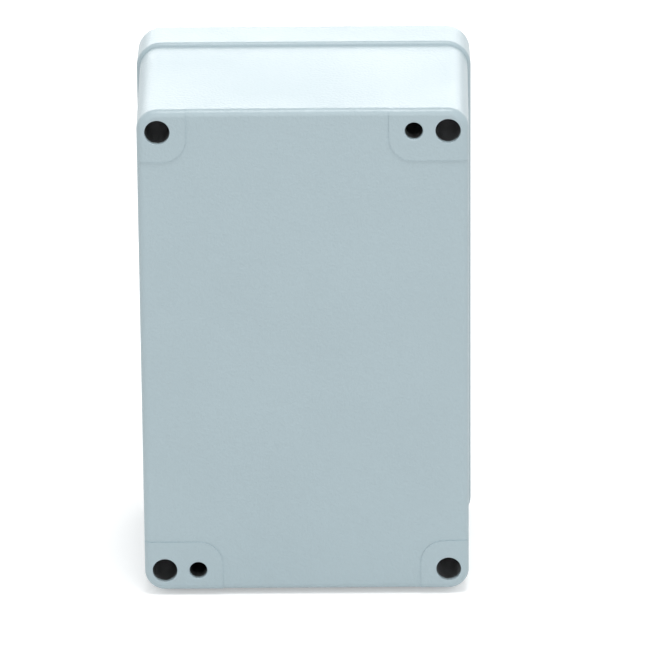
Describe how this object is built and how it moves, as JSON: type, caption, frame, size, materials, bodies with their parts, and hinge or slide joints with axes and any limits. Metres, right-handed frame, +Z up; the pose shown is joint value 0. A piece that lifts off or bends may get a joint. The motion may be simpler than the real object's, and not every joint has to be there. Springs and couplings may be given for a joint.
{
  "type": "die cast aluminium enclosure",
  "caption": "Painted die cast aluminium box on its short end: drafted base with cored corner columns and diagonal mounting holes, gasketed lid with captive corner screws.",
  "frame": {"origin": "middle of the box's footprint on the surface it stands on, level with the lowest edge of the lid's lip", "axes": "+Z up along the box's length, +Y from the base's back face towards the lid, +X across the width"},
  "size_m": [0.08, 0.057, 0.125],
  "materials": {
    "base_paint": "light blue-grey powder coat, fine texture, low sheen",
    "lid_paint": "light blue-grey powder coat, fine texture, low sheen",
    "gasket": "black foamed seal, matt",
    "ring_rubber": "black rubber, satin",
    "screw_steel": "turned stainless steel",
    "earth_steel": "zinc plated steel"
  },
  "bodies": {
    "base": {"base": "base_paint", "earth_screw": "earth_steel", "earth_spring_washer": "earth_steel", "earth_clamp_washer": "earth_steel"},
    "lid": {"lid": "lid_paint", "gasket": "gasket"},
    "ring_1": {"screw_ring_1": "ring_rubber"},
    "screw_1": {"lid_screw_1": "screw_steel"},
    "ring_2": {"screw_ring_2": "ring_rubber"},
    "screw_2": {"lid_screw_2": "screw_steel"},
    "ring_3": {"screw_ring_3": "ring_rubber"},
    "screw_3": {"lid_screw_3": "screw_steel"},
    "ring_4": {"screw_ring_4": "ring_rubber"},
    "screw_4": {"lid_screw_4": "screw_steel"}
  },
  "joints": [
    {"name": "lid_lift", "type": "slide", "parent": "base", "child": "lid", "axis": [0, 1, 0], "range_m": [0, 0.06]},
    {"name": "screw_1_rise", "type": "slide", "parent": "lid", "child": "ring_1", "axis": [0, 1, 0], "range_m": [0, 0.0049]},
    {"name": "screw_1_turn", "type": "hinge", "parent": "ring_1", "child": "screw_1", "pos_m": [0.034, 0.024, 0.1185], "axis": [0, 1, 0], "range_deg": [0, 2521]},
    {"name": "screw_2_rise", "type": "slide", "parent": "lid", "child": "ring_2", "axis": [0, 1, 0], "range_m": [0, 0.0049]},
    {"name": "screw_2_turn", "type": "hinge", "parent": "ring_2", "child": "screw_2", "pos_m": [-0.034, 0.024, 0.1185], "axis": [0, 1, 0], "range_deg": [0, 2521]},
    {"name": "screw_3_rise", "type": "slide", "parent": "lid", "child": "ring_3", "axis": [0, 1, 0], "range_m": [0, 0.0049]},
    {"name": "screw_3_turn", "type": "hinge", "parent": "ring_3", "child": "screw_3", "pos_m": [-0.034, 0.024, 0.0065], "axis": [0, 1, 0], "range_deg": [0, 2521]},
    {"name": "screw_4_rise", "type": "slide", "parent": "lid", "child": "ring_4", "axis": [0, 1, 0], "range_m": [0, 0.0049]},
    {"name": "screw_4_turn", "type": "hinge", "parent": "ring_4", "child": "screw_4", "pos_m": [0.034, 0.024, 0.0065], "axis": [0, 1, 0], "range_deg": [0, 2521]}
  ],
  "couplings": [
    {"joint": "screw_1_turn", "follows": "screw_1_rise", "rad_per_m": 8976},
    {"joint": "screw_2_turn", "follows": "screw_2_rise", "rad_per_m": 8976},
    {"joint": "screw_3_turn", "follows": "screw_3_rise", "rad_per_m": 8976},
    {"joint": "screw_4_turn", "follows": "screw_4_rise", "rad_per_m": 8976}
  ]
}
